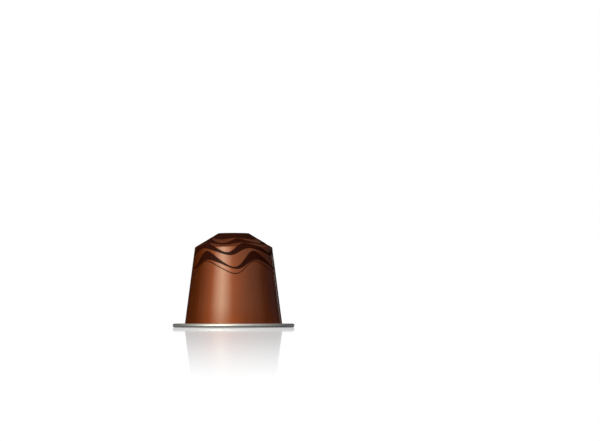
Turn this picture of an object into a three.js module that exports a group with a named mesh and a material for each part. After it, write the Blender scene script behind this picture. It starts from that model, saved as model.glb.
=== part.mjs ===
// A sealed aluminium coffee pod that stands on its rolled rim: a filled, tapered cup with a sloped
// shoulder and a dimpled crown, a sealing ring that lies on its flange, and a foil lid below it.
// Millimetres, +Z up. The origin is the centre of the circle on which the rim stands.

import * as THREE from "three";

// Radii, each from the end of the one before, from the axis out to the rim.
const dimpleFloorRadius = 2.2;
const dimpleSlopeRun = 0.9;
const crownRingWidth = 1.5;
const shoulderRun = 7.15;
const wallRun = 3.1;
const flangeWidth = 3.65;

// Heights, from the surface that the pod stands on up to the crown.
const lidRecess = 0.3;
const foilThickness = 0.1;
const sheetThickness = 0.12;
const wallHeight = 23.8;
const shoulderRise = 4.3;
const dimpleDepth = 1.3;

// Bend radii of the drawn sheet, on its outer face.
const dimpleBend = 0.4;
const crownBend = 0.6;
const shoulderBend = 0.45;
const rootBend = 0.4;

// The rolled edge of the flange is a round bead, pressed flat where it stands.
const rollRadius = 0.61;
const rollFootWidth = 0.3;

// The soft ring, a strip with a flat top and one sloped side.
const sealHeight = 0.45;
const sealTopWidth = 0.8;
const sealToRootGap = 0.05;
const sealToRollGap = 0.1;

// The lid ends short of the roll, so that it can be laid in and sealed.
const lidToRollGap = 0.3;

// How finely the turned faces and the bends are divided.
const turnSegments = 80;
const bendStep = THREE.MathUtils.degToRad(18);

const dimpleMouthRadius = dimpleFloorRadius + dimpleSlopeRun;
const crownRadius = dimpleMouthRadius + crownRingWidth;
const shoulderRadius = crownRadius + shoulderRun;
const wallRootRadius = shoulderRadius + wallRun;
const rimRadius = wallRootRadius + flangeWidth;

const lidTop = lidRecess + foilThickness;
const flangeTop = lidTop + sheetThickness;
const shoulderHeight = flangeTop + wallHeight;
const podHeight = shoulderHeight + shoulderRise;

const rollCentre = new THREE.Vector2(
  rimRadius - rollRadius,
  Math.sqrt(rollRadius ** 2 - (rollFootWidth / 2) ** 2),
);
const rollInnerRadius = rollCentre.x - rollRadius;

// Points on an arc, both ends included, no further apart than one bend step.
function arcPoints(centre, radius, startAngle, endAngle) {
  const steps = Math.max(2, Math.ceil(Math.abs(endAngle - startAngle) / bendStep));
  const points = [];
  for (let i = 0; i <= steps; i += 1) {
    const angle = startAngle + ((endAngle - startAngle) * i) / steps;
    points.push(
      new THREE.Vector2(
        centre.x + radius * Math.cos(angle),
        centre.y + radius * Math.sin(angle),
      ),
    );
  }
  return points;
}

// One corner between two straight stretches, rounded to the bend radius.
function bendPoints(before, corner, after, radius) {
  const inward = before.clone().sub(corner).normalize();
  const outward = after.clone().sub(corner).normalize();
  const halfAngle = Math.acos(inward.dot(outward)) / 2;
  const bisector = inward.clone().add(outward).normalize();
  const centre = corner.clone().addScaledVector(bisector, radius / Math.sin(halfAngle));
  const tangentLength = radius / Math.tan(halfAngle);
  const start = corner.clone().addScaledVector(inward, tangentLength).sub(centre);
  const end = corner.clone().addScaledVector(outward, tangentLength).sub(centre);
  const sweep = Math.atan2(start.cross(end), start.dot(end));
  return arcPoints(centre, radius, start.angle(), start.angle() + sweep);
}

// An outline of corners given as [radius, height, bend radius]; a corner without a bend is sharp.
function bentOutline(corners) {
  const places = corners.map(([radius, height]) => new THREE.Vector2(radius, height));
  return corners.flatMap(([, , bend], i) =>
    bend ? bendPoints(places[i - 1], places[i], places[i + 1], bend) : [places[i]],
  );
}

// The angle about the roll's centre at which the roll's inner side crosses a height.
function rollAngleAt(height) {
  return Math.PI - Math.asin((height - rollCentre.y) / rollRadius);
}

// Turns an outline, drawn from its lower end to its upper end, about the Z axis.
function turned(outline) {
  return new THREE.LatheGeometry(outline, turnSegments).rotateX(Math.PI / 2);
}

// The drawn cup with its contents, sealed: from the middle of the underside, round the roll,
// up the wall and over the shoulder to the middle of the dimple.
function capsuleGeometry() {
  const footAngle = Math.asin(-rollCentre.y / rollRadius);
  const fullTurn = 2 * Math.PI;
  const underside = new THREE.Vector2(0, lidTop);
  const innerRoll = arcPoints(rollCentre, rollRadius, rollAngleAt(lidTop), Math.PI - footAngle);
  const outerRoll = arcPoints(
    rollCentre,
    rollRadius,
    footAngle + fullTurn,
    rollAngleAt(flangeTop) + fullTurn,
  );
  const cup = bentOutline([
    [rollInnerRadius, flangeTop],
    [wallRootRadius, flangeTop, rootBend],
    [shoulderRadius, shoulderHeight, shoulderBend],
    [crownRadius, podHeight, crownBend],
    [dimpleMouthRadius, podHeight, dimpleBend],
    [dimpleFloorRadius, podHeight - dimpleDepth, dimpleBend],
    [0, podHeight - dimpleDepth],
  ]);
  return turned([underside, ...innerRoll, ...outerRoll, ...cup.slice(1)]);
}

// The soft ring that is laid on the flange, between the foot of the wall and the roll.
function sealGeometry() {
  const inner = wallRootRadius + rootBend + sealToRootGap;
  const outer = rollInnerRadius - sealToRollGap;
  const top = flangeTop + sealHeight;
  return turned([
    new THREE.Vector2(inner, flangeTop),
    new THREE.Vector2(outer, flangeTop),
    new THREE.Vector2(inner + sealTopWidth, top),
    new THREE.Vector2(inner, top),
    new THREE.Vector2(inner, flangeTop),
  ]);
}

// The lid, a flat disc of foil sealed to the underside of the flange.
function lidGeometry() {
  const radius = rollInnerRadius - lidToRollGap;
  return turned([
    new THREE.Vector2(0, lidRecess),
    new THREE.Vector2(radius, lidRecess),
    new THREE.Vector2(radius, lidTop),
    new THREE.Vector2(0, lidTop),
  ]);
}

function piece(name, geometry, finish) {
  const mesh = new THREE.Mesh(geometry, new THREE.MeshStandardMaterial(finish));
  mesh.name = name;
  return mesh;
}

const pod = new THREE.Group();
pod.add(
  piece("capsule", capsuleGeometry(), { color: 0x7a3f22, roughness: 0.38, metalness: 0.85 }),
  piece("seal_ring", sealGeometry(), { color: 0xc9c8c4, roughness: 0.6, metalness: 0 }),
  piece("foil_lid", lidGeometry(), { color: 0xc4c4c6, roughness: 0.3, metalness: 1 }),
);

export default pod;
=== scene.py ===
import math

import bpy
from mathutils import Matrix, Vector


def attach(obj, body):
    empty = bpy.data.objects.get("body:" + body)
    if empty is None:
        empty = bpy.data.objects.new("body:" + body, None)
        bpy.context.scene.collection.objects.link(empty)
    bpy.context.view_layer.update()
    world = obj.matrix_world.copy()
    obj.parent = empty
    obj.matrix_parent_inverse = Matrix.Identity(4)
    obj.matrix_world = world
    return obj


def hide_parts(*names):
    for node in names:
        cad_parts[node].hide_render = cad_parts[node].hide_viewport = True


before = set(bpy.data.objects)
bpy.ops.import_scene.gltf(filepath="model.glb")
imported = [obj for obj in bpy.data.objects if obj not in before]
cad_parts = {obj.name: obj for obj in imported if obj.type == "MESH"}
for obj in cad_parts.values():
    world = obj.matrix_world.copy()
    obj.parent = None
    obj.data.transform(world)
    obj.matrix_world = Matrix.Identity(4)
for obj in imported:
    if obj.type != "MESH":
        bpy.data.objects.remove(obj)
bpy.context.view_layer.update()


# The capsule: a thin aluminium cup, deep drawn in one piece, filled and sealed. Its outside has a
# satin brown lacquer with a printed border of waves in darker ink. The flange is left bare, and its
# edge is curled up and over into a round bead, so that the cut edge of the sheet ends out of reach.

# One millimetre in Blender's metres. The sizes of the pieces are given in millimetres.
MM = 0.001

dimple_floor_radius = 2.2
dimple_mouth_radius = 3.1
crown_radius = 4.6
shoulder_radius = 11.75
root_radius = 14.85
sheet = 0.12
underside = 0.4
flange_top = underside + sheet
shoulder_height = 24.32
crown_height = 28.61
dimple_floor = 27.32

dimple_bend = 0.4
crown_bend = 0.6
shoulder_bend = 0.45
root_bend = 0.4

bead_radius = 0.606
bead_middle = (17.887, 0.588)
bead_starts_at = 222
neck_share = 0.985
neck_bend = 0.14
curl_gap = 0.07


def arc(middle, radius, start, end, steps):
    """Points on a circle, from one angle to another, in degrees."""
    points = []
    for step in range(steps + 1):
        angle = math.radians(start + (end - start) * step / steps)
        points.append((middle[0] + radius * math.cos(angle), middle[1] + radius * math.sin(angle)))
    return points


def bend(before, corner, after, radius, steps):
    """A corner of the sheet, rounded to a bend radius."""
    corner = Vector(corner)
    back = (Vector(before) - corner).normalized()
    ahead = (Vector(after) - corner).normalized()
    half = back.angle(ahead) / 2
    middle = corner + (back + ahead).normalized() * radius / math.sin(half)
    first = corner + back * radius / math.tan(half) - middle
    last = corner + ahead * radius / math.tan(half) - middle
    start = math.degrees(math.atan2(first.y, first.x))
    sweep = math.degrees(math.atan2(first.cross(last), first.dot(last)))
    return arc(middle, radius, start, start + sweep, steps)


def filled_in(outline, longest):
    """The same outline, with points added where two of them lie far apart."""
    points = [outline[0]]
    for here, there in zip(outline, outline[1:]):
        steps = max(1, math.ceil(math.dist(here, there) / longest))
        for step in range(1, steps + 1):
            share = step / steps
            out = here[0] + (there[0] - here[0]) * share
            up = here[1] + (there[1] - here[1]) * share
            points.append((out, up))
    return points


def put(tree, kind, inputs=(), **settings):
    """Adds a node, with its settings, and gives or links its inputs by name or number."""
    made = tree.nodes.new(kind)
    for name, value in settings.items():
        setattr(made, name, value)
    for key, value in dict(inputs).items():
        socket = made.inputs[key]
        if isinstance(value, bpy.types.NodeSocket):
            tree.links.new(value, socket)
        else:
            socket.default_value = value
    return made


def reckon(tree, operation, *values):
    """One step of arithmetic in a node tree."""
    return put(tree, "ShaderNodeMath", dict(enumerate(values)), operation=operation).outputs[0]


# The turned ends meet at the seam and on the axis, and are merged there. The slight unevenness of
# the sheet sets in over a short height above the level that it starts from.
seam_merge = 1e-7
uneven_rise = 2 * MM


def turning_tree():
    """Turns an outline about the Z axis, as sheet is turned or drawn round a form."""
    tree = bpy.data.node_groups.new("turned outline", "GeometryNodeTree")
    sizes = {
        "Outline": "NodeSocketGeometry",
        "Segments": "NodeSocketInt",
        "Unevenness": "NodeSocketFloat",
        "Uneven Size": "NodeSocketFloat",
        "Uneven From": "NodeSocketFloat",
        "Finish": "NodeSocketMaterial",
    }
    for name, kind in sizes.items():
        tree.interface.new_socket(name, in_out="INPUT", socket_type=kind)
    tree.interface.new_socket("Turned", in_out="OUTPUT", socket_type="NodeSocketGeometry")
    given = tree.nodes.new("NodeGroupInput").outputs

    count = put(tree, "GeometryNodeAttributeDomainSize", {"Geometry": given["Outline"]}, component="MESH")
    rows = count.outputs["Point Count"]
    columns = reckon(tree, "ADD", given["Segments"], 1.0)
    grid = put(
        tree,
        "GeometryNodeMeshGrid",
        {"Size X": 1.0, "Size Y": 1.0, "Vertices X": columns, "Vertices Y": rows},
    )
    on_grid = tree.nodes.new("GeometryNodeInputPosition").outputs[0]
    flat = put(tree, "ShaderNodeSeparateXYZ", {0: on_grid}).outputs
    turn = reckon(tree, "MULTIPLY", reckon(tree, "ADD", flat["X"], 0.5), math.tau)
    share_along = reckon(tree, "ADD", flat["Y"], 0.5)
    last_row = reckon(tree, "SUBTRACT", rows, 1.0)
    row = reckon(tree, "ROUND", reckon(tree, "MULTIPLY", share_along, last_row))

    taken = put(
        tree,
        "GeometryNodeSampleIndex",
        {"Geometry": given["Outline"], "Index": row},
        data_type="FLOAT_VECTOR",
        domain="POINT",
    )
    tree.links.new(tree.nodes.new("GeometryNodeInputPosition").outputs[0], taken.inputs["Value"])
    profile = put(tree, "ShaderNodeSeparateXYZ", {0: taken.outputs["Value"]}).outputs
    place = put(
        tree,
        "ShaderNodeCombineXYZ",
        {
            "X": reckon(tree, "MULTIPLY", profile["X"], reckon(tree, "COSINE", turn)),
            "Y": reckon(tree, "MULTIPLY", profile["X"], reckon(tree, "SINE", turn)),
            "Z": profile["Z"],
        },
    ).outputs[0]
    bent = put(tree, "GeometryNodeSetPosition", {"Geometry": grid.outputs["Mesh"], "Position": place})
    closed = put(tree, "GeometryNodeMergeByDistance", {"Geometry": bent.outputs[0], "Distance": seam_merge})

    spot = tree.nodes.new("GeometryNodeInputPosition").outputs[0]
    swell = put(
        tree,
        "ShaderNodeTexNoise",
        {"Vector": spot, "Scale": given["Uneven Size"], "Detail": 1.0},
        noise_dimensions="3D",
    ).outputs[0]
    height = put(tree, "ShaderNodeSeparateXYZ", {0: spot}).outputs["Z"]
    full_from = reckon(tree, "ADD", given["Uneven From"], uneven_rise)
    above = put(
        tree,
        "ShaderNodeMapRange",
        {"Value": height, "From Min": given["Uneven From"], "From Max": full_from},
        interpolation_type="SMOOTHSTEP",
    ).outputs[0]
    depth = reckon(tree, "MULTIPLY", reckon(tree, "SUBTRACT", swell, 0.5), given["Unevenness"])
    depth = reckon(tree, "MULTIPLY", depth, above)
    outward = tree.nodes.new("GeometryNodeInputNormal").outputs[0]
    offset = put(tree, "ShaderNodeVectorMath", {0: outward, "Scale": depth}, operation="SCALE").outputs[0]
    uneven = put(tree, "GeometryNodeSetPosition", {"Geometry": closed.outputs[0], "Offset": offset})

    smooth = put(tree, "GeometryNodeSetShadeSmooth", {0: uneven.outputs[0]})
    real = put(tree, "GeometryNodeRealizeInstances", {0: smooth.outputs[0]})
    done = put(tree, "GeometryNodeSetMaterial", {"Geometry": real.outputs[0], "Material": given["Finish"]})
    put(tree, "NodeGroupOutput", {0: done.outputs[0]})
    return tree


turning = turning_tree()


def turn_up(name, outline, finish, segments, unevenness, uneven_size, uneven_from):
    """Makes a piece from its outline, in millimetres, and leaves it as a plain mesh."""
    line = bpy.data.meshes.new(name + " outline")
    corners = [(out * MM, 0, up * MM) for out, up in outline]
    edges = [(i, i + 1) for i in range(len(outline) - 1)]
    line.from_pydata(corners, edges, [])
    piece = bpy.data.objects.new(name, line)
    bpy.context.scene.collection.objects.link(piece)
    work = piece.modifiers.new("turned", "NODES")
    work.node_group = turning
    wanted = {
        "Segments": segments,
        "Unevenness": unevenness * MM,
        "Uneven Size": uneven_size,
        "Uneven From": uneven_from * MM,
        "Finish": finish,
    }
    for socket in turning.interface.items_tree:
        if socket.item_type == "SOCKET" and socket.in_out == "INPUT" and socket.name in wanted:
            work[socket.identifier] = wanted[socket.name]
    ready = piece.evaluated_get(bpy.context.evaluated_depsgraph_get())
    turned = bpy.data.meshes.new_from_object(ready)
    turned.name = name
    piece.modifiers.clear()
    piece.data = turned
    return piece


def stretched(tree, vector, size):
    """A place or a direction, made longer or shorter."""
    return put(tree, "ShaderNodeVectorMath", {0: vector, "Scale": size}, operation="SCALE").outputs[0]


def new_finish(name):
    """An empty material with its output, its shader and the place on the piece in millimetres."""
    finish = bpy.data.materials.new(name)
    finish.use_nodes = True
    tree = finish.node_tree
    tree.nodes.clear()
    shader = tree.nodes.new("ShaderNodeBsdfPrincipled")
    put(tree, "ShaderNodeOutputMaterial", {"Surface": shader.outputs[0]})
    here = tree.nodes.new("ShaderNodeTexCoord").outputs["Object"]
    return finish, tree, shader, stretched(tree, here, 1 / MM)


def off_the_axis(tree, axis):
    """The level way from the axis to a place."""
    return put(tree, "ShaderNodeCombineXYZ", {"X": axis["X"], "Y": axis["Y"]}).outputs[0]


def length_of(tree, vector):
    """How long a vector is."""
    return put(tree, "ShaderNodeVectorMath", {0: vector}, operation="LENGTH").outputs["Value"]


def noise(tree, place, scale, detail=2.0):
    """Soft random variation, from 0 to 1."""
    inputs = {"Vector": place, "Scale": scale, "Detail": detail, "Roughness": 0.5}
    return put(tree, "ShaderNodeTexNoise", inputs).outputs[0]


def spread(tree, value, low, high):
    """Takes the middle of a noise's range, 0.3 to 0.7, to the range that is wanted."""
    inputs = {"Value": value, "From Min": 0.3, "From Max": 0.7, "To Min": low, "To Max": high}
    return put(tree, "ShaderNodeMapRange", inputs).outputs[0]


def edge(tree, value, start, end):
    """0 before start, 1 after end, and soft between them."""
    inputs = {"Value": value, "From Min": start, "From Max": end}
    return put(tree, "ShaderNodeMapRange", inputs, interpolation_type="SMOOTHSTEP").outputs[0]


def blended(tree, share, first, second):
    """One colour turning into another."""
    return put(tree, "ShaderNodeMix", {"Factor": share, 6: first, 7: second}, data_type="RGBA").outputs[2]


def between(tree, share, first, second):
    """One number turning into another."""
    inputs = {"Factor": share, "A": first, "B": second}
    return put(tree, "ShaderNodeMix", inputs, data_type="FLOAT").outputs[0]


# The printed border. Its heights run up the wall and on along the shoulder, as on the flat sheet.
# Each stripe has a middle, a swing, a shift in radians, a half width and a change of that width.
waves_round = 5
wave_lean = 0.32
swell_lead = 0.5
ink_edge = 0.04
slope_length = math.dist((shoulder_radius, shoulder_height), (crown_radius, crown_height))
crown_cap_width = 3.2
crown_print_from = shoulder_height + slope_length - crown_cap_width
dimple_print_ends = dimple_mouth_radius - 0.1
fold_edge = 0.02
stripes = [
    (18.1, 1.9, 0.0, 0.16, 0.0),
    (19.8, 1.9, 0.0, 0.85, 0.60),
    (23.7, 1.5, 0.9, 0.95, 0.55),
    (27.0, 1.0, 1.8, 0.90, 0.50),
    (29.9, 0.7, 2.7, 0.85, 0.30),
]

# The lacquer ends a little unevenly, just outside the foot of the wall.
lacquer_ends = root_radius + 0.2
ragged_scale = 1.4
ragged_depth = 0.08
lacquer_edge = 0.05

# Marks of the drawing run up the wall, marks of the roller run round the flange.
drawn_round = 14.0
drawn_along = 0.04
drawn_scale = 2.2
turned_scale = 7.0
drawn_detail = 4.0
turned_detail = 3.0
peel_scale = 1.1
cloud_scale = 0.12
drawn_depth = 0.003
peel_depth = 0.0022
turned_depth = 0.0012
ink_depth = 0.0015

lacquer_dark = (0.228, 0.047, 0.0078, 1)
lacquer_light = (0.265, 0.056, 0.0098, 1)
lacquer_streak = (0.31, 0.076, 0.016, 1)
ink_dark = (0.024, 0.0028, 0.0004, 1)
ink_light = (0.031, 0.0040, 0.0006, 1)
silver_dark = (0.66, 0.69, 0.74, 1)
silver_light = (0.78, 0.81, 0.86, 1)

streak_share = (0.0, 0.35)
lacquer_satin = (0.58, 0.66)
ink_extra_satin = 0.06
silver_satin = (0.46, 0.56)
specular_level = 0.05
gloss_roughness = 0.15
gloss_lost_on_ink = 0.93
gloss_at_foot = 0.5
full_gloss_height = 8.0


def wave_of_ink(tree, turn, along, middle, swing, shift, half_width, change):
    """One printed stripe that rises and falls round the pod, thick at its tops and thin between."""
    phase = reckon(tree, "ADD", reckon(tree, "MULTIPLY", turn, float(waves_round)), shift)
    phase = reckon(tree, "MULTIPLY_ADD", reckon(tree, "SINE", phase), wave_lean, phase)
    centre = reckon(tree, "MULTIPLY_ADD", reckon(tree, "SINE", phase), swing, middle)
    swell = reckon(tree, "SINE", reckon(tree, "ADD", phase, swell_lead))
    half = reckon(tree, "MULTIPLY_ADD", swell, change, half_width)
    away = reckon(tree, "ABSOLUTE", reckon(tree, "SUBTRACT", along, centre))
    return edge(tree, reckon(tree, "SUBTRACT", half, away), -ink_edge, ink_edge)


def printed_share(tree, axis, radius):
    """1 where there is ink, and 0 on the plain lacquer."""
    turn = reckon(tree, "ARCTAN2", axis["Y"], axis["X"])
    on_shoulder = edge(tree, axis["Z"], shoulder_height - fold_edge, shoulder_height + fold_edge)
    inward = reckon(tree, "SUBTRACT", shoulder_radius, radius)
    slope = slope_length / (shoulder_radius - crown_radius)
    along_shoulder = reckon(tree, "MULTIPLY_ADD", inward, slope, shoulder_height)
    along = between(tree, on_shoulder, axis["Z"], along_shoulder)
    crown_start = edge(tree, along, crown_print_from, crown_print_from + 2 * ink_edge)
    crown_end = edge(tree, radius, dimple_print_ends, dimple_print_ends + 2 * ink_edge)
    inked = reckon(tree, "MULTIPLY", crown_start, crown_end)
    for middle, swing, shift, half_width, change in stripes:
        stripe = wave_of_ink(tree, turn, along, middle, swing, shift, half_width, change)
        inked = reckon(tree, "MAXIMUM", inked, stripe)
    return inked


def lacquer_finish():
    """Brown lacquer and ink on the cup, and bare silver metal on its flange and bead."""
    finish, tree, shader, place = new_finish("brown lacquer and bare flange")
    axis = put(tree, "ShaderNodeSeparateXYZ", {0: place}).outputs
    level = off_the_axis(tree, axis)
    radius = length_of(tree, level)
    outward = put(tree, "ShaderNodeVectorMath", {0: level}, operation="NORMALIZE").outputs[0]
    inked = printed_share(tree, axis, radius)

    bare_from = reckon(tree, "MULTIPLY_ADD", noise(tree, place, ragged_scale), ragged_depth, lacquer_ends)
    bare = edge(tree, reckon(tree, "SUBTRACT", radius, bare_from), 0.0, lacquer_edge)

    sideways = stretched(tree, outward, drawn_round)
    upwards = reckon(tree, "MULTIPLY", axis["Z"], drawn_along)
    upwards = put(tree, "ShaderNodeCombineXYZ", {"Z": upwards}).outputs[0]
    drawn = put(tree, "ShaderNodeVectorMath", {0: sideways, 1: upwards}, operation="ADD").outputs[0]
    drawn_lines = noise(tree, drawn, drawn_scale, drawn_detail)
    ring = put(tree, "ShaderNodeCombineXYZ", {"X": radius, "Y": 0.0, "Z": axis["Z"]}).outputs[0]
    turned_lines = noise(tree, ring, turned_scale, turned_detail)
    peel = noise(tree, place, peel_scale)
    clouds = spread(tree, noise(tree, place, cloud_scale), 0.0, 1.0)

    lacquer = blended(tree, clouds, lacquer_dark, lacquer_light)
    lacquer = blended(tree, spread(tree, drawn_lines, *streak_share), lacquer, lacquer_streak)
    printed = blended(tree, inked, lacquer, blended(tree, clouds, ink_dark, ink_light))
    silver = blended(tree, spread(tree, turned_lines, 0.0, 1.0), silver_dark, silver_light)
    tree.links.new(blended(tree, bare, printed, silver), shader.inputs["Base Color"])
    tree.links.new(reckon(tree, "SUBTRACT", 1.0, inked), shader.inputs["Metallic"])
    shader.inputs["Specular IOR Level"].default_value = specular_level

    satin = reckon(tree, "MULTIPLY_ADD", inked, ink_extra_satin, spread(tree, drawn_lines, *lacquer_satin))
    rough = between(tree, bare, satin, spread(tree, turned_lines, *silver_satin))
    tree.links.new(rough, shader.inputs["Roughness"])
    gloss = reckon(tree, "MULTIPLY_ADD", inked, -gloss_lost_on_ink, 1.0)
    gloss = reckon(tree, "MULTIPLY", gloss, reckon(tree, "SUBTRACT", 1.0, bare))
    higher = edge(tree, axis["Z"], 0.0, full_gloss_height)
    higher = reckon(tree, "MULTIPLY_ADD", higher, 1.0 - gloss_at_foot, gloss_at_foot)
    tree.links.new(reckon(tree, "MULTIPLY", gloss, higher), shader.inputs["Coat Weight"])
    shader.inputs["Coat Roughness"].default_value = gloss_roughness

    drawn_relief = reckon(tree, "MULTIPLY", drawn_lines, drawn_depth)
    wall_relief = reckon(tree, "ADD", drawn_relief, reckon(tree, "MULTIPLY", peel, peel_depth))
    texture = between(tree, bare, wall_relief, reckon(tree, "MULTIPLY", turned_lines, turned_depth))
    height = reckon(tree, "MULTIPLY_ADD", inked, ink_depth, texture)
    relief = put(tree, "ShaderNodeBump", {"Height": height, "Distance": MM}).outputs[0]
    tree.links.new(relief, shader.inputs["Normal"])
    tree.links.new(relief, shader.inputs["Coat Normal"])
    return finish


foot_angle = math.degrees(math.asin(bead_middle[1] / bead_radius))
foot_span = 180 - 2 * foot_angle
foot_outside = 360 - foot_angle
foot_inside = foot_outside - foot_span
curl_end_angle = 180 - math.degrees(math.asin((flange_top + curl_gap - bead_middle[1]) / bead_radius))
curl_end = arc(bead_middle, bead_radius, curl_end_angle, curl_end_angle, steps=1)[0]
below_middle = (0, underside)
neck = (bead_middle[0] - bead_radius * neck_share, underside)
neck_below = (17.42, 0.2)
flange_outside = (17.4, flange_top)
wall_foot = (root_radius, flange_top)
shoulder = (shoulder_radius, shoulder_height)
crown = (crown_radius, crown_height)
dimple_mouth = (dimple_mouth_radius, crown_height)
dimple_foot = (dimple_floor_radius, dimple_floor)
dimple_middle = (0, dimple_floor)
capsule_outline = [
    below_middle,
    *bend(below_middle, neck, neck_below, neck_bend, steps=5),
    *arc(bead_middle, bead_radius, bead_starts_at, foot_inside, steps=8),
    *arc(bead_middle, bead_radius, foot_outside, 360 + curl_end_angle, steps=40),
    (curl_end[0] + sheet, curl_end[1]),
    (curl_end[0] + sheet, flange_top),
    *bend(flange_outside, wall_foot, shoulder, root_bend, steps=8),
    *bend(wall_foot, shoulder, crown, shoulder_bend, steps=10),
    *bend(shoulder, crown, dimple_mouth, crown_bend, steps=10),
    *bend(crown, dimple_mouth, dimple_foot, dimple_bend, steps=8),
    *bend(dimple_mouth, dimple_foot, dimple_middle, dimple_bend, steps=8),
    dimple_middle,
]
capsule = turn_up(
    "drawn_capsule",
    filled_in(capsule_outline, longest=0.9),
    lacquer_finish(),
    segments=256,
    unevenness=0.02,
    uneven_size=140.0,
    uneven_from=1.6,
)
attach(capsule, "root")
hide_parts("capsule")


# The sealing ring: a soft grey compound, laid wet on the flange against the foot of the wall and
# cured there. It has a flat top where the brewing bell presses, and runs out thin to the bead.

ring_inner = 15.3
ring_outer = 17.16
ring_top_width = 0.8
ring_top = 0.97
ring_outer_edge = 0.05
ring_edge_bend = 0.05
ring_slope_bend = 0.25
ring_inner_bend = 0.12
ring_foot_cut = (0.02, 0.04)

grain_scale = 5.0
grain_detail = 3.0
grain_share = (0.0, 0.25)
patch_scale = 0.5
grain_depth = 0.006
patch_depth = 0.02
foot_line_depth = 0.01
compound_dark = (0.50, 0.50, 0.48, 1)
compound_light = (0.60, 0.59, 0.56, 1)
compound_grain = (0.68, 0.67, 0.65, 1)
compound_matt = (0.5, 0.66)


def compound_finish():
    """Matt grey compound with a fine grain and soft patches."""
    finish, tree, shader, place = new_finish("grey sealing compound")
    axis = put(tree, "ShaderNodeSeparateXYZ", {0: place}).outputs
    grain = noise(tree, place, grain_scale, grain_detail)
    patches = noise(tree, place, patch_scale)
    colour = blended(tree, spread(tree, patches, 0.0, 1.0), compound_dark, compound_light)
    colour = blended(tree, spread(tree, grain, *grain_share), colour, compound_grain)
    tree.links.new(colour, shader.inputs["Base Color"])
    tree.links.new(spread(tree, grain, *compound_matt), shader.inputs["Roughness"])
    foot_line = edge(tree, axis["Z"], flange_top + ring_outer_edge, flange_top)
    height = reckon(tree, "MULTIPLY_ADD", grain, grain_depth, reckon(tree, "MULTIPLY", patches, patch_depth))
    height = reckon(tree, "SUBTRACT", height, reckon(tree, "MULTIPLY", foot_line, foot_line_depth))
    relief = put(tree, "ShaderNodeBump", {"Height": height, "Distance": MM}).outputs[0]
    tree.links.new(relief, shader.inputs["Normal"])
    return finish


outer_foot = (ring_outer, flange_top)
outer_edge = (ring_outer, flange_top + ring_outer_edge)
top_outside = (ring_inner + ring_top_width, ring_top)
top_inside = (ring_inner, ring_top)
inner_foot = (ring_inner, flange_top)
cut_below = (ring_inner + ring_foot_cut[0], flange_top)
ring_outline = [
    cut_below,
    outer_foot,
    *bend(outer_foot, outer_edge, top_outside, ring_edge_bend, steps=3),
    *bend(outer_foot, top_outside, top_inside, ring_slope_bend, steps=6),
    *bend(top_outside, top_inside, inner_foot, ring_inner_bend, steps=6),
    (ring_inner, flange_top + ring_foot_cut[1]),
    cut_below,
]
sealing_ring = turn_up(
    "sealing_ring",
    ring_outline,
    compound_finish(),
    segments=224,
    unevenness=0.03,
    uneven_size=420.0,
    uneven_from=0.6,
)
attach(sealing_ring, "root")
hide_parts("seal_ring")


# The lid: a disc of plain bright foil, welded by heat to the underside of the flange. The gas from
# the roasted coffee bows it out a little, and the weld leaves a flat band with a fine pressed grid.

lid_radius = 16.95
lid_under = 0.3
lid_bow = 0.14
bow_steps = 40
band_inner = 14.9
band_step = 0.15
band_lift = 0.02
lid_edge_bevel = (0.03, 0.05)

mill_stretch = (0.06, 1.0, 1.0)
mill_scale = 3.0
mill_detail = 4.0
mill_depth = 0.002
crease_scale = 0.22
crease_width = 0.06
crease_depth = 0.015
pressed_scale = 2.2
pressed_dot = (0.45, 0.15)
pressed_depth = 0.02
foil_dark = (0.74, 0.74, 0.75, 1)
foil_light = (0.86, 0.86, 0.87, 1)
foil_welded = (0.68, 0.68, 0.69, 1)
foil_gloss = (0.16, 0.26)
band_extra_satin = 0.12
band_tint = 0.5


def foil_finish():
    """Bright foil with mill lines and creases, and a pressed grid on the weld band."""
    finish, tree, shader, place = new_finish("bright lid foil")
    axis = put(tree, "ShaderNodeSeparateXYZ", {0: place}).outputs
    radius = length_of(tree, off_the_axis(tree, axis))
    band = edge(tree, radius, band_inner, band_inner + band_step)
    rolled = put(tree, "ShaderNodeVectorMath", {0: place, 1: mill_stretch}, operation="MULTIPLY").outputs[0]
    mill_lines = noise(tree, rolled, mill_scale, mill_detail)
    colour = blended(tree, spread(tree, mill_lines, 0.0, 1.0), foil_dark, foil_light)
    colour = blended(tree, reckon(tree, "MULTIPLY", band, band_tint), colour, foil_welded)
    tree.links.new(colour, shader.inputs["Base Color"])
    shader.inputs["Metallic"].default_value = 1.0
    rough = reckon(tree, "MULTIPLY_ADD", band, band_extra_satin, spread(tree, mill_lines, *foil_gloss))
    tree.links.new(rough, shader.inputs["Roughness"])

    cells = {"Vector": place, "Scale": crease_scale}
    to_crease = put(tree, "ShaderNodeTexVoronoi", cells, feature="DISTANCE_TO_EDGE").outputs[0]
    crease = edge(tree, to_crease, crease_width, 0.0)
    grid = {"Vector": place, "Scale": pressed_scale, "Randomness": 0.0}
    to_dot = put(tree, "ShaderNodeTexVoronoi", grid).outputs[0]
    pressed = reckon(tree, "MULTIPLY", band, pressed_depth)
    pressed = reckon(tree, "MULTIPLY", edge(tree, to_dot, *pressed_dot), pressed)
    height = reckon(tree, "ADD", reckon(tree, "MULTIPLY", mill_lines, mill_depth), pressed)
    height = reckon(tree, "MULTIPLY_ADD", crease, crease_depth, height)
    relief = put(tree, "ShaderNodeBump", {"Height": height, "Distance": MM}).outputs[0]
    tree.links.new(relief, shader.inputs["Normal"])
    return finish


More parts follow.
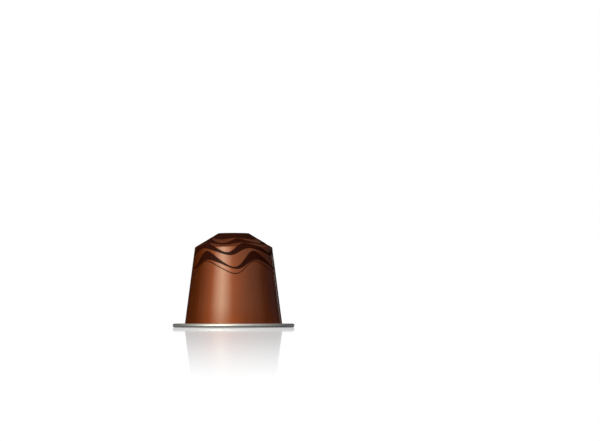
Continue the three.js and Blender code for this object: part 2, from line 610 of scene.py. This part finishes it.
bowed = []
for step in range(bow_steps + 1):
    reach = band_inner * step / bow_steps
    bowed.append((reach, lid_under - lid_bow * math.cos(math.pi / 2 * reach / band_inner) ** 2))
lid_outline = [
    *bowed,
    (band_inner + band_step, lid_under + band_lift),
    (lid_radius - lid_edge_bevel[0], lid_under + band_lift),
    (lid_radius, lid_under + lid_edge_bevel[1]),
    (lid_radius, underside),
    (0, underside),
]
foil = turn_up(
    "lid_foil",
    filled_in(lid_outline, longest=0.6),
    foil_finish(),
    segments=224,
    unevenness=0.05,
    uneven_size=170.0,
    uneven_from=-2.0,
)
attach(foil, "root")
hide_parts("foil_lid")


# The table: a round of white board that glows evenly, so that it looks as white as the surround.
# A thin polish mirrors the pod in it. The polish fades with the distance, so that no far edge shows.

board_radius = 1300 * MM
board_corners = 96
board_dark = (0.24, 0.245, 0.25, 1)
board_light = (0.26, 0.265, 0.27, 1)
board_grain_scale = 0.05
board_roughness = 0.9
board_glow = 0.912
polish_share = 0.45
polish_ends = 865.0
polish_fade = 5.8
polish_roughness = 0.02
polish_index = 1.45
plain_white = (1, 1, 1, 1)


def board_finish():
    """Matt board with its own even glow, under a polish that is strongest beside the pod."""
    finish, tree, shader, place = new_finish("white board")
    axis = put(tree, "ShaderNodeSeparateXYZ", {0: place}).outputs
    radius = length_of(tree, off_the_axis(tree, axis))
    grain = noise(tree, place, board_grain_scale)
    tree.links.new(blended(tree, grain, board_dark, board_light), shader.inputs["Base Color"])
    shader.inputs["Roughness"].default_value = board_roughness
    shader.inputs["Specular IOR Level"].default_value = 0.0
    shader.inputs["Emission Color"].default_value = plain_white
    shader.inputs["Emission Strength"].default_value = board_glow
    polish = put(tree, "ShaderNodeBsdfGlossy", {"Color": plain_white, "Roughness": polish_roughness})
    glancing = put(tree, "ShaderNodeFresnel", {"IOR": polish_index}).outputs[0]
    outwards = reckon(tree, "MINIMUM", reckon(tree, "DIVIDE", radius, polish_ends), 1.0)
    worn = reckon(tree, "POWER", outwards, polish_fade)
    left = reckon(tree, "MULTIPLY_ADD", worn, -polish_share, polish_share)
    share = reckon(tree, "MULTIPLY", glancing, left)
    mix = put(tree, "ShaderNodeMixShader", {0: share, 1: shader.outputs[0], 2: polish.outputs[0]})
    output = [node for node in tree.nodes if node.type == "OUTPUT_MATERIAL"][0]
    tree.links.new(mix.outputs[0], output.inputs["Surface"])
    return finish


board_points = []
for corner in range(board_corners):
    turn = math.tau * corner / board_corners
    board_points.append((board_radius * math.cos(turn), board_radius * math.sin(turn), 0))
board_mesh = bpy.data.meshes.new("board")
board_mesh.from_pydata(board_points, [], [list(range(board_corners))])
board_mesh.materials.append(board_finish())
board = bpy.data.objects.new("board", board_mesh)
bpy.context.scene.collection.objects.link(board)


# The studio: the camera sees a plain white surround, but the light it casts is dim and warm. Two rows
# of soft lamps make the highlights on the wall and the shoulder, and a low glowing wall far out lights
# the table alone. Distances here are in metres.

surround_tint = (1, 0.92, 0.82, 1)
surround_front = 0.26
surround_rear = 0.06

world = bpy.data.worlds.new("studio")
bpy.context.scene.world = world
world.use_nodes = True
air = world.node_tree
air.nodes.clear()
seen = put(air, "ShaderNodeBackground", {"Color": plain_white, "Strength": 1.0})
way_out = air.nodes.new("ShaderNodeTexCoord").outputs["Generated"]
ahead = put(air, "ShaderNodeSeparateXYZ", {0: way_out}).outputs["Y"]
dimming = {"Value": ahead, "From Min": -1.0, "To Min": surround_front, "To Max": surround_rear}
dim = put(air, "ShaderNodeMapRange", dimming).outputs[0]
unseen = put(air, "ShaderNodeBackground", {"Color": surround_tint, "Strength": dim})
from_camera = air.nodes.new("ShaderNodeLightPath").outputs["Is Camera Ray"]
both = put(air, "ShaderNodeMixShader", {0: from_camera, 1: unseen.outputs[0], 2: seen.outputs[0]})
put(air, "ShaderNodeOutputWorld", {"Surface": both.outputs[0]})

pod_middle = Vector((0, 0, 0.014))


def panel(name, azimuth, elevation, distance, width, height, glow, colour=(1, 1, 1)):
    """A soft rectangular light that faces the pod. Azimuth 0 is on the camera's side, 90 on the right."""
    lamp = bpy.data.lights.new(name, "AREA")
    lamp.shape = "RECTANGLE"
    lamp.size = width
    lamp.size_y = height
    lamp.energy = glow * width * height * math.pi
    lamp.color = colour
    holder = bpy.data.objects.new(name, lamp)
    bpy.context.scene.collection.objects.link(holder)
    turn = math.radians(azimuth)
    lift = math.radians(elevation)
    out = Vector((math.sin(turn) * math.cos(lift), -math.cos(turn) * math.cos(lift), math.sin(lift)))
    holder.location = pod_middle + out * distance
    holder.rotation_mode = "QUATERNION"
    holder.rotation_quaternion = out.to_track_quat("Z", "Y")
    holder.visible_camera = False
    return holder


# What each light reaches: one set for the lamps round the pod, and one for what lights the table.
lit_pod = bpy.data.collections.new("lit pod")
for piece in (capsule, sealing_ring, foil):
    lit_pod.objects.link(piece)
lit_board = bpy.data.collections.new("lit board")
lit_board.objects.link(board)


def lights_only(lamp, lit):
    """The lamp or glowing sheet lights the objects of this collection alone."""
    lamp.light_linking.receiver_collection = lit


brightest_azimuth = -30
right_fade = 0.5
white_reach = 2
warm_white = (1.0, 0.88, 0.70)
cool_white = (1.0, 0.95, 0.72)


def row_of_lamps(name, count, first, last, elevation, distance, height, skirt, core, core_reach):
    """Soft lamps side by side round the pod, brightest at the front left and fading both ways."""
    step = (last - first) / count
    width = 2 * distance * math.cos(math.radians(elevation)) * math.tan(math.radians(step / 2))
    for number in range(count):
        azimuth = first + step * (number + 0.5)
        if azimuth < brightest_azimuth:
            fade = (azimuth - first) / (brightest_azimuth - first)
        else:
            fade = ((last - azimuth) / (last - brightest_azimuth)) ** right_fade
        share = max(0.0, 1 - abs(azimuth - brightest_azimuth) / core_reach)
        glow = skirt * fade + core * share
        white_share = min(1.0, share * white_reach)
        colour = [warm + (cool - warm) * white_share for warm, cool in zip(warm_white, cool_white)]
        lamp = panel("%s %d" % (name, number), azimuth, elevation, distance, width, height, glow, colour)
        lights_only(lamp, lit_pod)


row_of_lamps(
    "upright lamp",
    count=40,
    first=-104,
    last=84,
    elevation=14,
    distance=0.64,
    height=0.36,
    skirt=1.0,
    core=6.4,
    core_reach=28,
)
row_of_lamps(
    "leaning lamp",
    count=24,
    first=-140,
    last=100,
    elevation=50,
    distance=0.60,
    height=0.34,
    skirt=0.5,
    core=3.2,
    core_reach=30,
)
right_edge_light = panel(
    "right edge light",
    azimuth=150,
    elevation=8,
    distance=0.7,
    width=0.08,
    height=0.24,
    glow=0.4,
)
right_fill = panel(
    "right fill",
    azimuth=108,
    elevation=12,
    distance=0.7,
    width=0.62,
    height=0.30,
    glow=0.075,
    colour=(0.4, 0.7, 1.0),
)
rear_light = panel(
    "rear light",
    azimuth=180,
    elevation=4,
    distance=0.66,
    width=0.10,
    height=0.12,
    glow=4.0,
    colour=(1.0, 0.96, 0.88),
)
for lamp in (right_edge_light, right_fill, rear_light):
    lights_only(lamp, lit_pod)

# The top light is the one that reaches the pod and the table alike.
panel("top light", azimuth=0, elevation=84, distance=0.6, width=0.40, height=0.34, glow=0.5)

backdrop_distance = 1.4
backdrop_heights = (-0.01, 0.7)
backdrop_steps = 96

wall_points = []
for step in range(backdrop_steps + 1):
    turn = math.radians(360 * step / backdrop_steps)
    for level in backdrop_heights:
        wall_points.append((backdrop_distance * math.sin(turn), -backdrop_distance * math.cos(turn), level))
wall_faces = [(2 * i, 2 * i + 2, 2 * i + 3, 2 * i + 1) for i in range(backdrop_steps)]
wall_mesh = bpy.data.meshes.new("low backdrop")
wall_mesh.from_pydata(wall_points, [], wall_faces)
backdrop = bpy.data.objects.new("low backdrop", wall_mesh)
bpy.context.scene.collection.objects.link(backdrop)
backdrop.visible_camera = False
white = bpy.data.materials.new("white backdrop")
white.use_nodes = True
white.node_tree.nodes.clear()
shine = put(white.node_tree, "ShaderNodeEmission", {"Color": plain_white, "Strength": 1.0})
put(white.node_tree, "ShaderNodeOutputMaterial", {"Surface": shine.outputs[0]})
wall_mesh.materials.append(white)
lights_only(backdrop, lit_board)
lights_only(board, lit_board)


# The camera: a metre back and about level with the flange, as in the photograph. It stands to the
# right of the pod and looks a little up, which puts the pod low and on the left of the picture.

picture_width = 600
pod_left_of_middle = 66.4
base_below_middle = 106.9
pixels_per_millimetre = 3.292
camera_distance = 1.0
camera_height = 0.0025
sensor_width = 36
seen_width = picture_width / pixels_per_millimetre * MM

lens = bpy.data.cameras.new("camera")
lens.sensor_width = sensor_width
lens.lens = sensor_width * camera_distance / seen_width
lens.clip_start = 0.01
lens.clip_end = 20
camera = bpy.data.objects.new("camera", lens)
bpy.context.scene.collection.objects.link(camera)
side = pod_left_of_middle / pixels_per_millimetre * MM
camera.location = (side, -camera_distance, camera_height)
aim = Vector((side, 0, base_below_middle / pixels_per_millimetre * MM))
camera.rotation_mode = "QUATERNION"
camera.rotation_quaternion = (aim - camera.location).to_track_quat("-Z", "Y")
bpy.context.scene.camera = camera
bpy.context.scene.view_settings.view_transform = "Standard"
